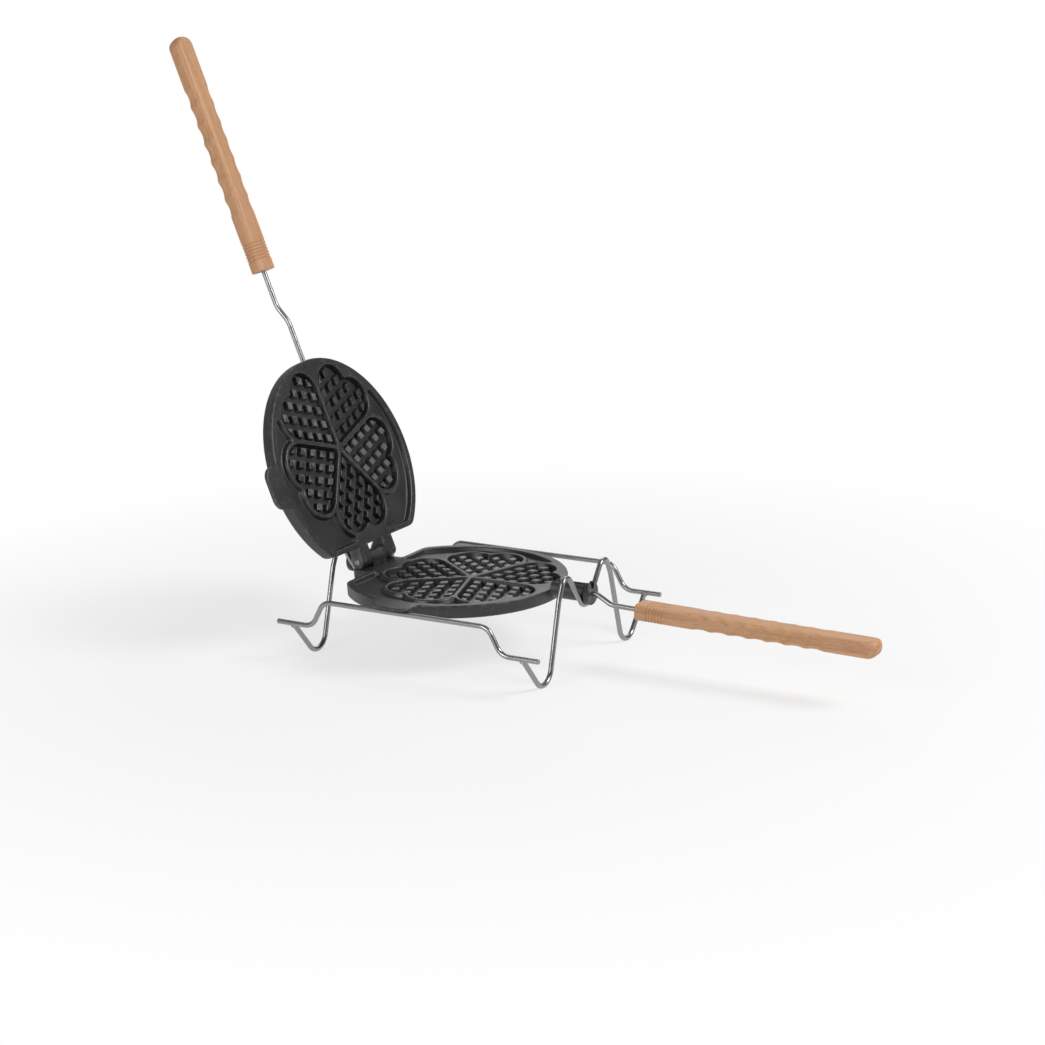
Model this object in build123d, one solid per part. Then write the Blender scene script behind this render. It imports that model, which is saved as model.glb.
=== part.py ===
from build123d import *
import math
import os

# A campfire waffle iron: two cast heart-pattern plates hinged together, a bent steel rod and a wooden
# grip on each, and a stand of four bent wires that carries the iron by a collar at each end.
# Sizes are in millimetres and angles in degrees.
# The pieces are drawn in the iron's frame: the origin is the middle of the heart pattern on the plane
# where the plates meet, +X points along the grips, +Z is up and the ears are at -Y. The lid is drawn
# closed and then turned open about its pin.

# Plates
plate_radius = 108.5
plate_offset = -16.0
plate_chord_x = -98.5
plate_corner = 15.0
plate_thickness = 13.0
plate_draft = 3.0
plate_back_edge = 2.0
mating_gap = 0.2

# Ear of each plate
ear_width = 43.0
ear_stand_out = 17.5
ear_thickness = 3.5
ear_corner = 12.0
ear_root_round = 6.0

# Heart pattern
heart_count = 5
heart_reach = 87.5
heart_lobe_angle = 14.0
heart_cleft_round = 1.5
heart_tip_round = 2.5
heart_depth = 7.0
heart_draft = 12.0
ridge_width = 4.0
stud_pitch = 14.5
stud_side = 9.2
stud_height = 5.0
stud_draft = 10.0
stud_margin = 2.4
stud_least_share = 0.3

# Drip channels between the hearts and the rim
rim_width = 7.5
heart_border = 3.5
channel_end_x = -93.5
channel_neck_width = 52.0
channel_neck_x = -60.0
channel_depth = 4.5
channel_draft = 20.0

# Hinge
pin_x = -112.0
pin_z = 7.5
pin_radius = 2.8
pin_stand_out = 0.8
pin_edge = 0.6
pin_running_clearance = 0.05
knuckle_width = 24.0
knuckle_radius = 7.5
arm_side_gap = 0.5
arm_width = 17.0
arm_radius = 7.2
arm_root = 8.0
tongue_depth = 11.0
tongue_corner = 5.0
open_angle = 112.0
lean_gap = 0.2

# Collars
collar_radius = 9.0
flange_radius = 11.5
flange_thickness = 5.0
flange_edge = 1.0
collar_lid_gap = 0.7
collar_root = 6.5
handle_flange_play = 0.5
hinge_flange_play = 4.0
rod_groove_clearance = 0.5
rod_groove_floor_gap = 0.3

# Rods
rod_radius = 2.5
rod_bend = 12.0
upper_rod_depth = 20.0
upper_rod_knee_x = 134.0
upper_rod_rise = 7.2
upper_rod_rise_run = 18.0
lower_rod_depth = 16.0
lower_rod_straight = 4.0
lower_rod_drop = 8.9
lower_rod_drop_run = 16.0
lower_rod_tail = 30.0
rod_grip_depth = 45.0

# Grips
grip_length = 243.0
grip_width = 24.0
grip_height = 16.0
grip_corner = 5.0
grip_tip_outer = 11.0
grip_tip_inner = 4.0
grip_tip_side = 7.0
grip_end_edge = 1.0
upper_grip_x = 189.0
lower_grip_droop = 1.2
scallop_first = 68.0
scallop_pitch = 19.1
scallop_count = 7
scallop_width = 17.0
scallop_depth = 0.7
scallop_side_depth = 1.5

# Stand
wire_radius = 2.5
ear_rest_gap = 0.2
rail_ear_overhang = 5.5
rail_half_length = 145.0
rail_step_top_x = 88.0
rail_step_foot_x = 105.0
rail_low_z = -32.0
rail_bend = 8.0
cradle_gap = 0.2
hump_y = 33.2
hump_z = 27.0
hump_bend = 7.0
shoulder_y = 52.0
shoulder_z = 4.5
shoulder_bend = 12.0
foot_y = 75.7
foot_z = -84.5
foot_bend = 15.1
weld_reach = 1.0

# Sizes that follow from the ones above
ear_reach = plate_radius + ear_stand_out
rail_y = ear_reach - rail_ear_overhang
rail_z = -(ear_thickness + ear_rest_gap + wire_radius)
valley_radius = collar_radius + wire_radius + cradle_gap
lid_back_z = mating_gap + plate_thickness
upper_rod_z = mating_gap + plate_thickness / 2
plate_tip_x = plate_offset + plate_radius


def along(length, angle):
    """The plane point at a distance and an angle from the origin."""
    return (length * math.cos(math.radians(angle)), length * math.sin(math.radians(angle)))


def slab(sketch, y_near, y_far):
    """A sketch drawn in X and Z, made solid between two Y places."""
    return extrude(Plane.XZ.offset(-y_far) * sketch, y_far - y_near)


def about_x(radius, x_from, x_to):
    """A round bar along X at Y = 0 and Z = 0."""
    return extrude(Plane.YZ.offset(x_from) * Circle(radius), x_to - x_from)


def about_pin(radius, length):
    """A round bar on the hinge axis, centred on the iron's middle plane."""
    return Pos(pin_x, 0, pin_z) * Rot(90, 0, 0) * Cylinder(radius, length)


def bent_bar(points, bends, radius):
    """A round bar along straight runs joined by arcs."""
    line = FilletPolyline(*points, radius=bends)
    return sweep(Plane(origin=line @ 0, z_dir=line % 0) * Circle(radius), path=line)


# The heart pattern

def heart_face():
    """One heart with its tip near the pattern's middle and its axis along +X."""
    half_angle = 180 / heart_count
    side_angle = math.radians(half_angle - heart_lobe_angle)
    lobe_distance = (heart_reach + ridge_width / 2) / (1 + math.sin(side_angle))
    lobe_radius = heart_reach - lobe_distance
    lobe = along(lobe_distance, -heart_lobe_angle)
    touch_length = lobe_distance * math.cos(side_angle)
    touch = Vector(*along(touch_length, -half_angle)) + Vector(*along(ridge_width / 2, 90 - half_angle))
    tip = (ridge_width / 2 / math.sin(math.radians(half_angle)), 0)
    cleft_angle = math.degrees(math.asin(-lobe[1] / lobe_radius))
    side = Line(tip, touch)
    round_lobe = CenterArc(lobe, lobe_radius, -90 - half_angle, 90 + half_angle + cleft_angle)
    half = Curve() + [side, round_lobe]
    face = make_face((half + mirror(half, Plane.XZ)).edges())
    on_axis = face.vertices().filter_by(lambda corner: abs(corner.Y) < 0.01).sort_by(Axis.X)
    face = fillet(on_axis[-1], heart_cleft_round)
    first = face.vertices().sort_by(Axis.X)[0]
    return fillet(first, heart_tip_round)


def stud_faces(heart):
    """The feet of one heart's studs: a lattice along the heart's two straight sides."""
    half_angle = 180 / heart_count
    up = Vector(*along(1, half_angle))
    down = Vector(*along(1, -half_angle))
    start = Vector(ridge_width / 2 / math.sin(math.radians(half_angle)), 0)
    room = offset(heart, -stud_margin)
    whole = stud_side ** 2 * math.sin(math.radians(2 * half_angle))
    steps = math.ceil(heart_reach / stud_pitch)
    found = []
    for i in range(steps):
        for j in range(steps):
            middle = start + up * ((i + 0.5) * stud_pitch) + down * ((j + 0.5) * stud_pitch)
            corners = [middle + up * (stud_side / 2 * a) + down * (stud_side / 2 * b)
                       for a, b in ((1, 1), (1, -1), (-1, -1), (-1, 1))]
            stud = make_face(Polyline(*corners, close=True)) & room
            found += [face for face in stud.faces() if face.area > stud_least_share * whole]
    return found


def heart_cutter(heart):
    """What one heart takes out of a plate: its pocket without the studs that stand in it."""
    cutter = extrude(heart, heart_depth, taper=heart_draft)
    for foot in stud_faces(heart):
        cutter -= Pos(0, 0, heart_depth) * mirror(extrude(foot, stud_height, taper=stud_draft), Plane.XY)
    return cutter


def channel_faces(heart):
    """The drip channels' outlines, inside the rim, outside the hearts and clear of the hinge.

    The widest two are cut, one on each side. The slivers between other neighbouring hearts stay solid.
    """
    basin = Pos(plate_offset, 0) * Circle(plate_radius - rim_width)
    basin -= Pos(channel_end_x - plate_radius, 0) * Rectangle(2 * plate_radius, 3 * plate_radius)
    basin -= Pos(channel_neck_x - plate_radius, 0) * Rectangle(2 * plate_radius, channel_neck_width)
    border = offset(heart, heart_border)
    for k in range(heart_count):
        basin -= Rot(0, 0, (k + 0.5) * 360 / heart_count) * border
    return basin.faces().sort_by(SortBy.AREA)[-2:]


# The plates

def plate_outline():
    """A disc with a straight hinge side and rounded corners."""
    disc = Pos(plate_offset, 0) * Circle(plate_radius)
    disc -= Pos(plate_chord_x - plate_radius, 0) * Rectangle(2 * plate_radius, 3 * plate_radius)
    ends = disc.vertices().filter_by(lambda corner: abs(corner.X - plate_chord_x) < 0.01)
    return fillet(ends, plate_corner)


def ear():
    """The flat lobe at the -Y side."""
    root_y = -plate_radius + rim_width
    lobe = Pos(plate_offset, (root_y - ear_reach) / 2) * Rectangle(ear_width, ear_reach + root_y)
    lobe = fillet(lobe.vertices().group_by(Axis.Y)[0], ear_corner)
    return extrude(lobe, ear_thickness, taper=plate_draft)


def ear_roots(half):
    """The two short upright edges where the ear leaves the rim."""
    upright = [edge for edge in half.edges() if 0.9 * ear_thickness < edge.length < 1.1 * ear_thickness]
    beside = [edge for edge in upright if -plate_radius < edge.center().Y < rim_width - plate_radius]
    return [edge for edge in beside if abs(edge.center().X - plate_offset) < ear_width]


def plate_half():
    """One plate with its pattern at Z = 0 and its back at +Z."""
    half = extrude(plate_outline(), plate_thickness, taper=plate_draft)
    half = chamfer(half.edges().group_by(Axis.Z)[-1], plate_back_edge)
    half += ear()
    half = fillet(ear_roots(half), ear_root_round)
    heart = heart_face()
    cutter = heart_cutter(heart)
    for k in range(heart_count):
        half -= Rot(0, 0, (k + 0.5) * 360 / heart_count) * cutter
    for face in channel_faces(heart):
        half -= extrude(face, channel_depth, taper=channel_draft)
    return half


def hinge_arms():
    """The lid's two arms: each as thick as the plate, with a round end on the pin."""
    height = plate_thickness - plate_back_edge
    root = Pos(plate_chord_x + arm_root / 2, mating_gap + height / 2) * Rectangle(arm_root, height)
    end = Pos(pin_x, pin_z) * Circle(arm_radius)
    profile = make_hull((root + end).edges())
    inner = knuckle_width / 2 + arm_side_gap
    arm = slab(profile, inner, inner + arm_width)
    return arm + mirror(arm, Plane.XZ)


def upper_plate(half):
    lid = Pos(0, 0, mating_gap) * half + hinge_arms()
    lid -= about_pin(pin_radius + pin_running_clearance, 4 * knuckle_width)
    bore = Pos(0, 0, upper_rod_z) * about_x(rod_radius, plate_tip_x - upper_rod_depth, 2 * plate_tip_x)
    return lid - bore


def hinge_knuckle():
    """The lower plate's tongue under the lid's arms, and the knuckle that stands up from it."""
    tongue_width = knuckle_width + 2 * (arm_side_gap + arm_width)
    length = plate_chord_x + arm_root - pin_x + knuckle_radius
    tongue = Pos(pin_x - knuckle_radius + length / 2, 0) * Rectangle(length, tongue_width)
    tongue = fillet(tongue.vertices().group_by(Axis.X)[0], tongue_corner)
    post = Pos(pin_x, (pin_z - tongue_depth) / 2) * Rectangle(2 * knuckle_radius, pin_z + tongue_depth)
    post += Pos(pin_x, pin_z) * Circle(knuckle_radius)
    knuckle = slab(post, -knuckle_width / 2, knuckle_width / 2)
    return extrude(tongue, -tongue_depth) + knuckle


def collar(x_from, x_wire, play):
    """A neck and its flange along X, with the flange just outboard of the wire at x_wire."""
    side = math.copysign(1, x_wire)
    inner = x_wire + side * (wire_radius + play)
    flange = about_x(flange_radius, inner, inner + side * flange_thickness)
    flange = chamfer(flange.edges().filter_by(GeomType.CIRCLE), flange_edge)
    return about_x(collar_radius, x_from, inner) + flange


def rod_groove(x_from, x_to):
    """The open groove on the handle end's collar, where the lid's rod lies when the iron is shut."""
    width = 2 * (rod_radius + rod_groove_clearance)
    floor = upper_rod_z - rod_radius - rod_groove_floor_gap
    height = 2 * flange_radius
    section = Pos(0, floor + width / 2) * Circle(width / 2)
    section += Pos(0, floor + width / 2 + height / 2) * Rectangle(width, height)
    return extrude(Plane.YZ.offset(x_from) * section, x_to - x_from)


def lower_plate(half, cradle_x):
    clear_x = plate_tip_x + collar_lid_gap
    end_x = handle_face_x(cradle_x)
    handle_collar = collar(plate_tip_x - collar_root, cradle_x, handle_flange_play)
    lid_room = Pos(0, 0, flange_radius) * Box(2 * clear_x, 2 * flange_radius, 2 * flange_radius)
    handle_collar -= lid_room
    handle_collar -= rod_groove(plate_tip_x - collar_root, end_x + flange_thickness)
    plate = mirror(half, Plane.XY) + hinge_knuckle() + handle_collar
    plate += collar(pin_x, -cradle_x, hinge_flange_play)
    plate -= about_pin(pin_radius, 4 * knuckle_width)
    return plate - about_x(rod_radius, end_x - lower_rod_depth, end_x + flange_thickness)


def handle_face_x(cradle_x):
    """The outer face of the flange that the lower rod comes out of."""
    return cradle_x + wire_radius + handle_flange_play + flange_thickness


def hinge_pin():
    length = knuckle_width + 2 * (arm_side_gap + arm_width + pin_stand_out)
    pin = about_pin(pin_radius, length)
    return chamfer(pin.edges().filter_by(GeomType.CIRCLE), pin_edge)


# Rods and grips

def upper_rod():
    rise_x = upper_rod_knee_x + upper_rod_rise_run
    grip_z = upper_rod_z + upper_rod_rise
    points = [(plate_tip_x - upper_rod_depth, 0, upper_rod_z), (upper_rod_knee_x, 0, upper_rod_z),
              (rise_x, 0, grip_z), (upper_grip_x + rod_grip_depth, 0, grip_z)]
    return bent_bar(points, rod_bend, rod_radius)


def lower_grip_place(cradle_x):
    """The middle of the lower grip's flat end."""
    drop_x = handle_face_x(cradle_x) + lower_rod_straight + lower_rod_drop_run
    tail = along(lower_rod_tail, -lower_grip_droop)
    return (drop_x + tail[0], 0, tail[1] - lower_rod_drop)


def lower_rod(cradle_x):
    end_x = handle_face_x(cradle_x)
    knee_x = end_x + lower_rod_straight
    drop = (knee_x + lower_rod_drop_run, 0, -lower_rod_drop)
    tail = along(lower_rod_tail + rod_grip_depth, -lower_grip_droop)
    points = [(end_x - lower_rod_depth, 0, 0), (knee_x, 0, 0), drop, (drop[0] + tail[0], 0, drop[2] + tail[1])]
    return bent_bar(points, rod_bend, rod_radius)


def scallop_circles(surface, depth):
    """The row of circles that presses finger hollows of one depth into an edge at a height."""
    radius = (scallop_width ** 2 / 4 + depth ** 2) / (2 * depth)
    places = [scallop_first + k * scallop_pitch for k in range(scallop_count)]
    return [Pos(x, surface - depth + radius) * Circle(radius) for x in places]


def grip():
    """A wooden grip along +X from its flat end, with hollows for the fingers on its sides and +Z face."""
    centre = Pos(grip_length / 2, 0)
    side_view = centre * Rectangle(grip_length, grip_height)
    tips = side_view.vertices().group_by(Axis.X)[-1].sort_by(Axis.Y)
    side_view = fillet(tips[1], grip_tip_outer)
    inner_tip = side_view.vertices().filter_by(
        lambda corner: abs(corner.X - grip_length) < 0.01).sort_by(Axis.Y)[0]
    side_view = fillet(inner_tip, grip_tip_inner)
    side_view -= scallop_circles(grip_height / 2, scallop_depth)
    top_view = centre * Rectangle(grip_length, grip_width)
    top_view = fillet(top_view.vertices().group_by(Axis.X)[-1], grip_tip_side)
    hollows = scallop_circles(grip_width / 2, scallop_side_depth)
    top_view -= hollows
    top_view -= [mirror(hollow, Plane.XZ) for hollow in hollows]
    section = Plane.YZ * RectangleRounded(grip_width, grip_height, grip_corner)
    bar = extrude(section, grip_length)
    bar = chamfer(bar.edges().group_by(Axis.X)[0], grip_end_edge)
    bar &= slab(side_view, -grip_width, grip_width)
    bar &= Pos(0, 0, -grip_height) * extrude(top_view, 2 * grip_height)
    return bar - about_x(rod_radius, 0, rod_grip_depth)


# The stand

def rail():
    """One side wire, with its two free ends stepped down."""
    half = [(rail_step_top_x, rail_z), (rail_step_foot_x, rail_low_z), (rail_half_length, rail_low_z)]
    points = [(-x, 0, z) for x, z in reversed(half)] + [(x, 0, z) for x, z in half]
    return bent_bar(points, rail_bend, wire_radius)


def cradle_line():
    """The middle line of a cross wire, from one rail to the other, in the plane X = 0."""
    reach = math.hypot(hump_y, hump_z)
    climb = math.atan2(hump_z, hump_y) + math.asin(valley_radius / reach)
    valley_z = hump_z - hump_y * math.tan(climb)
    run = Vector(rail_y - foot_y, rail_low_z - foot_z).normalized()
    end = (rail_y - run.X * weld_reach, rail_low_z - run.Y * weld_reach)
    side = [end, (foot_y, foot_z), (shoulder_y, shoulder_z), (hump_y, hump_z)]
    bends = [foot_bend, shoulder_bend, hump_bend]
    points = [(0, -y, z) for y, z in side] + [(0, 0, valley_z)] + [(0, y, z) for y, z in reversed(side)]
    return FilletPolyline(*points, radius=bends + [valley_radius] + bends[::-1])


def lean_cradle_x(line):
    """How far out the cross wires stand, so that the open lid's back leans on the humps."""
    turn = math.radians(open_angle)
    hump_height = line.bounding_box().max.Z - pin_z
    away = lid_back_z - pin_z + wire_radius + lean_gap
    return -pin_x + (away - hump_height * math.cos(turn)) / math.sin(turn)


def stand(line, cradle_x):
    """The two rails and the two cross wires, whose ends are cut to lie against the rails."""
    pieces = {"rail_front": Pos(0, -rail_y, 0) * rail(), "rail_rear": Pos(0, rail_y, 0) * rail()}
    wire = sweep(Plane(origin=line @ 0, z_dir=line % 0) * Circle(wire_radius), path=line)
    rails = list(pieces.values())
    pieces["cradle_handle_end"] = Pos(cradle_x, 0, 0) * wire - rails
    pieces["cradle_hinge_end"] = Pos(-cradle_x, 0, 0) * wire - rails
    return pieces


def iron(half, handle, cradle_x):
    """The lower half of the iron, which lies in the stand."""
    grip_place = Location(lower_grip_place(cradle_x), (0, lower_grip_droop, 0))
    return {"lower_plate": lower_plate(half, cradle_x), "hinge_pin": hinge_pin(),
            "lower_rod": lower_rod(cradle_x), "lower_grip": grip_place * mirror(handle, Plane.XY)}


def lid(half, handle):
    """The upper half of the iron, drawn closed."""
    grip_place = Pos(upper_grip_x, 0, upper_rod_z + upper_rod_rise)
    return {"upper_plate": upper_plate(half), "upper_rod": upper_rod(), "upper_grip": grip_place * handle}


# The whole, at rest with the lid open, moved so that it stands on Z = 0 with its box centred on X and Y

cross_wire = cradle_line()
cradle_x = lean_cradle_x(cross_wire)
plate, handle = plate_half(), grip()
pin_axis = Axis((pin_x, 0, pin_z), (0, 1, 0))
pieces = stand(cross_wire, cradle_x) | iron(plate, handle, cradle_x)
pieces |= {name: piece.rotate(pin_axis, -open_angle) for name, piece in lid(plate, handle).items()}
box = Compound([piece.solid() for piece in pieces.values()]).bounding_box()
shift = Vector(-(box.min.X + box.max.X) / 2, -(box.min.Y + box.max.Y) / 2, -box.min.Z)

os.makedirs("parts", exist_ok=True)
for name, piece in pieces.items():
    export_step(Pos(shift) * piece.solid(), f"parts/{name}.step")
print("cross wires at X", round(cradle_x, 3), "and the iron's frame at", [round(v, 3) for v in shift])
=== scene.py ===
"""The looks of the campfire waffle iron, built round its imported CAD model.

The pieces are drawn in millimetres in the iron's own frame, as in the part's source: the origin is the
middle of the heart pattern on the plane where the plates meet, +X points along the grips and +Z is up.
The lid's pieces are drawn closed and then turned open about the hinge pin.
"""
import math

import bmesh
import bpy
from mathutils import Matrix, Vector, noise


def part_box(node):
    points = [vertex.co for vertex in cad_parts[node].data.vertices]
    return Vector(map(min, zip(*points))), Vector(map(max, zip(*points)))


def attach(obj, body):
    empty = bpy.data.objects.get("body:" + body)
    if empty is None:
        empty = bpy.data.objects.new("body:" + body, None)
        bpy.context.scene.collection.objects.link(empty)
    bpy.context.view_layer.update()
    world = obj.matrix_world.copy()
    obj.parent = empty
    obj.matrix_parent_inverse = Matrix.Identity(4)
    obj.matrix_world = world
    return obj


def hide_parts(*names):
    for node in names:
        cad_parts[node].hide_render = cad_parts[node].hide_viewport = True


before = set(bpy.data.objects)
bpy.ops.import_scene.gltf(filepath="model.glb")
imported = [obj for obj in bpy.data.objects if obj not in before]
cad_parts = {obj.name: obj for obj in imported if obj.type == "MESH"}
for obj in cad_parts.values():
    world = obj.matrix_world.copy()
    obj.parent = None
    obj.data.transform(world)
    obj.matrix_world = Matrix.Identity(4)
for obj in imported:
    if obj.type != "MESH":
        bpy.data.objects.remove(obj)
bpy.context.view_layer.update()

METRE = 1000.0

# Plates
PLATE_RADIUS = 108.5
PLATE_OFFSET = -16.0
PLATE_CHORD_X = -98.5
PLATE_CORNER = 15.0
PLATE_THICKNESS = 13.0
PLATE_DRAFT = 3.0
PLATE_LIP = 1.3
PLATE_BACK_ROUND = 2.0
MATING_GAP = 0.2

# Ears and hinge lugs
EAR_WIDTH = 43.0
EAR_REACH = 126.0
EAR_THICKNESS = 3.5
EAR_CORNER = 12.0
EAR_ROOT_ROUND = 6.0
TONGUE_WIDTH = 59.0
TONGUE_DEPTH = 11.0
TONGUE_CORNER = 5.0
TONGUE_ROOT_ROUND = 2.0

# Heart pattern
HEART_COUNT = 5
HEART_REACH = 87.5
HEART_LOBE_ANGLE = 14.0
HEART_CLEFT_ROUND = 1.5
HEART_TIP_ROUND = 2.5
HEART_DEPTH = 7.0
HEART_DRAFT = 12.0
HEART_LIP = 1.2
RIDGE_WIDTH = 4.0
STUD_PITCH = 14.5
STUD_SIDE = 9.2
STUD_HEIGHT = 5.0
STUD_DRAFT = 10.0
STUD_MARGIN = 2.4
STUD_CORNER = 1.6
STUD_LIP = 0.8
STUD_LEAST_SHARE = 0.3
STUD_CORNER_SHARE = 0.3
STUD_CUT_STEP = 6
FOOT_ROUND = 0.45
CHANNEL_FOOT_ROUND = 1.5

# Drip channels
RIM_WIDTH = 7.5
HEART_BORDER = 3.5
CHANNEL_END_X = -93.5
CHANNEL_NECK_Y = 26.0
CHANNEL_DEPTH = 4.5
CHANNEL_DRAFT = 20.0
CHANNEL_CORNER = 3.0
CHANNEL_LIP = 1.8
CHANNEL_CUSP_SHARE = 1.3

# Hinge
PIN_X = -112.0
PIN_Z = 7.5
PIN_RADIUS = 2.8
PIN_HALF_LENGTH = 30.3
PIN_DOME = 0.6
KNUCKLE_WIDTH = 24.0
KNUCKLE_RADIUS = 7.5
KNUCKLE_ROOT_Z = -2.0
KNUCKLE_ROOT_ROUND = 0.3
ARM_SIDE_GAP = 0.5
ARM_WIDTH = 17.0
ARM_RADIUS = 7.2
ARM_EDGE = 1.0
ARM_ROOT_INSET = 7.0
ARM_ROOT_DROP = 2.2
OPEN_ANGLE = 112.0

# Collars
COLLAR_RADIUS = 9.0
FLANGE_RADIUS = 11.5
FLANGE_THICKNESS = 5.0
FLANGE_EDGE = 1.0
CRADLE_X = 127.119
HANDLE_FLANGE_INNER_X = CRADLE_X + 3.0
HINGE_FLANGE_INNER_X = -CRADLE_X - 6.5
COLLAR_LID_GAP = 0.7
COLLAR_EDGE = 0.4
COLLAR_ROOT_TOP = -0.6
COLLAR_ROOT_DEPTH = 7.0
COLLAR_ROOT_OVERLAP = 0.3
HINGE_NECK_INSET = 3.0
GROOVE_HALF_WIDTH = 3.0
GROOVE_FLOOR_Z = 3.9
GROOVE_LIP = 0.6

# Rods
ROD_RADIUS = 2.5
UPPER_ROD_BEND = 24.0
LOWER_ROD_BEND = 14.0
ROD_TONGUE = 45.0
UPPER_ROD_Z = MATING_GAP + PLATE_THICKNESS / 2
UPPER_ROD_START_X = 72.5
UPPER_ROD_KNEE_X = 134.0
UPPER_ROD_RISE = 7.2
UPPER_ROD_RISE_RUN = 18.0
LOWER_ROD_DEPTH = 16.0
LOWER_ROD_STRAIGHT = 4.0
LOWER_ROD_DROP = 8.9
LOWER_ROD_DROP_RUN = 16.0
LOWER_ROD_TAIL = 30.0

# Grips
GRIP_LENGTH = 243.0
GRIP_WIDTH = 24.0
GRIP_HEIGHT = 16.0
GRIP_CORNER = 5.0
GRIP_TIP_OUTER = 9.5
GRIP_TIP_INNER = 5.0
GRIP_TIP_SIDE = 10.5
GRIP_END_EDGE = 1.0
GRIP_START = 0.03
GRIP_LEAST_WIDTH = 0.2
GRIP_LEAST_HEIGHT = 0.02
UPPER_GRIP_X = 189.0
LOWER_GRIP_DROOP = 1.2
SCALLOP_FIRST = 68.0
SCALLOP_PITCH = 19.1
SCALLOP_COUNT = 7
SCALLOP_WIDTH = 17.0
SCALLOP_DEPTH = 0.7
SCALLOP_SIDE_DEPTH = 1.5
SCALLOP_SOFTNESS = 0.08
RING_FIRST = 12.5
RING_PITCH = 3.3
RING_COUNT = 6
RING_WIDTH = 1.7
RING_DEPTH = 0.7

# Stand
WIRE_RADIUS = 2.5
RAIL_Y = 120.5
RAIL_Z = -6.2
RAIL_HALF_LENGTH = 145.0
RAIL_STEP_TOP_X = 91.0
RAIL_STEP_FOOT_X = 105.0
RAIL_LOW_Z = -32.0
RAIL_BEND = 14.0
HUMP_Y = 31.5
HUMP_Z = 22.2
HUMP_OUTER_Y = 42.0
HUMP_OUTER_Z = 23.2
HUMP_BEND = 8.0
SHOULDER_Y = 50.5
SHOULDER_Z = 6.0
SHOULDER_BEND = 14.0
FOOT_Y = 75.7
FOOT_Z = -84.5
FOOT_BEND = 15.1
VALLEY_RADIUS = 11.7
BAR_END_EDGE = 0.6
WELD_SIZE = (3.5, 3.3, 1.9)
WELD_SEAT = 0.95
WELD_LUMPS = 0.09
WELD_LUMP_SCALE = 2.3
WELD_LUMP_SHIFT = 7

# Fineness of the meshes, with the steps at a grip's tip in degrees
ARC_STEP = math.radians(6)
ARC_LENGTH = 4.0
ROUND_STEPS = 3
QUARTER_TURN = [math.radians(angle) for angle in (0, 30, 60, 90)]
STUD_CORNER_STEPS = 4
STUD_SHARP_TURN = math.radians(20)
NECK_STEPS = 60
GROOVE_LIP_STEPS = 5
COLLAR_SIDES = 48
PIN_SIDES = 32
BAR_SIDES = 28
GRIP_CORNER_STEPS = 8
GRIP_RING_STEP = 0.25
GRIP_STEP = 1.2
GRIP_TIP_STEP = 5
WELD_FINENESS = 4
MERGE_DISTANCE = 1e-3

# Materials, with heights in metres. An edge is rubbed, and lightened as a painted highlight, where its
# pointiness, from 0 to 1, is above the one here. A steel is a name, two colours and two roughnesses.
EDGE_POINTINESS = 0.53
COAT_DARK = (0.010, 0.010, 0.011)
COAT_LIGHT = (0.020, 0.020, 0.021)
COAT_GRAIN = (0.045, 0.045, 0.047)
# Rubbed edges, also lightened as a painted highlight along edges and rims
COAT_WORN_HIGHLIGHT = (0.150, 0.150, 0.155)
COAT_ROUGHNESS = (0.34, 0.46)
COAT_GRAIN_HEIGHT = 0.00012
WOOD_PALE = (0.600, 0.335, 0.165)
WOOD_BAND = (0.430, 0.205, 0.090)
WOOD_PINK = (0.55, 0.265, 0.155)
WOOD_FIBRE = (0.66, 0.385, 0.20)
WOOD_FLECK = (0.24, 0.10, 0.045)
WOOD_ROUGHNESS = (0.46, 0.62)
WOOD_FIBRE_HEIGHT = 0.00005
PIN_STEEL = ("bright_pin_steel", ((0.30, 0.30, 0.295), (0.38, 0.38, 0.37)), (0.28, 0.34))
ROD_STEEL = ("stainless_rod", ((0.27, 0.267, 0.265), (0.31, 0.306, 0.302)), (0.32, 0.34))
WIRE_STEEL = ("stainless_wire", ((0.28, 0.28, 0.278), (0.33, 0.33, 0.327)), (0.29, 0.31))

# Studio, in metres and watts: each lamp's name, place, aim, power and size
FLOOR_COLOUR = (0.86, 0.86, 0.86)
FLOOR_SIDES = 96
FLOOR_RADIUS = 12.0
FLOOR_PALE_REACH = 0.35
FLOOR_WHITE_REACH = 0.8
FLOOR_WHITENESS = 0.7
BACK_WAY = (-0.80, 0.50, 0.33)
ROOM_TURN = (-0.2, 0.75)
ROOM_FRONT = 0.07
ROOM_BACK = 0.38
ROOM_LIGHT = 0.55
LAMPS = [("soft_top_front", (1.75, 0.45, 1.75), (-0.05, 0, 0.2), 46.0, 1.0),
         ("soft_back", (-0.9, 1.9, 1.5), (0, 0, 0.2), 11.0, 1.3),
         ("soft_front_left", (-0.4, -2.4, 1.0), (0, 0, 0.2), 30.0, 1.2)]

# Camera, where the photograph's stood, in degrees, millimetres and pixels
VIEW_AZIMUTH = -30.53
VIEW_ELEVATION = 14.81
VIEW_ROLL = -1.26
VIEW_DISTANCE = 2531.5
FRAME_SIZE = 1045
FOCAL_PIXELS = 2603.1
PATTERN_PIXEL = (470.76, 576.08)


def flat_point(length, degrees):
    """A plane vector of a length at an angle."""
    return Vector((length * math.cos(math.radians(degrees)), length * math.sin(math.radians(degrees))))


# Outlines are walked with the material on their left. A sample is a point and its inward normal.

class Straight:
    """A straight stretch of an outline."""

    def __init__(self, point, heading):
        self.point = Vector(point)
        self.heading = heading
        self.way = flat_point(1, heading)
        self.inward = Vector((-self.way.y, self.way.x))

    def shifted(self, distance):
        return Straight(self.point + self.inward * distance, self.heading)

    def touch(self, spot):
        return self.point + self.way * (spot - self.point).dot(self.way)

    def samples(self, start, end):
        return [(start, self.inward), (end, self.inward)]


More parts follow.
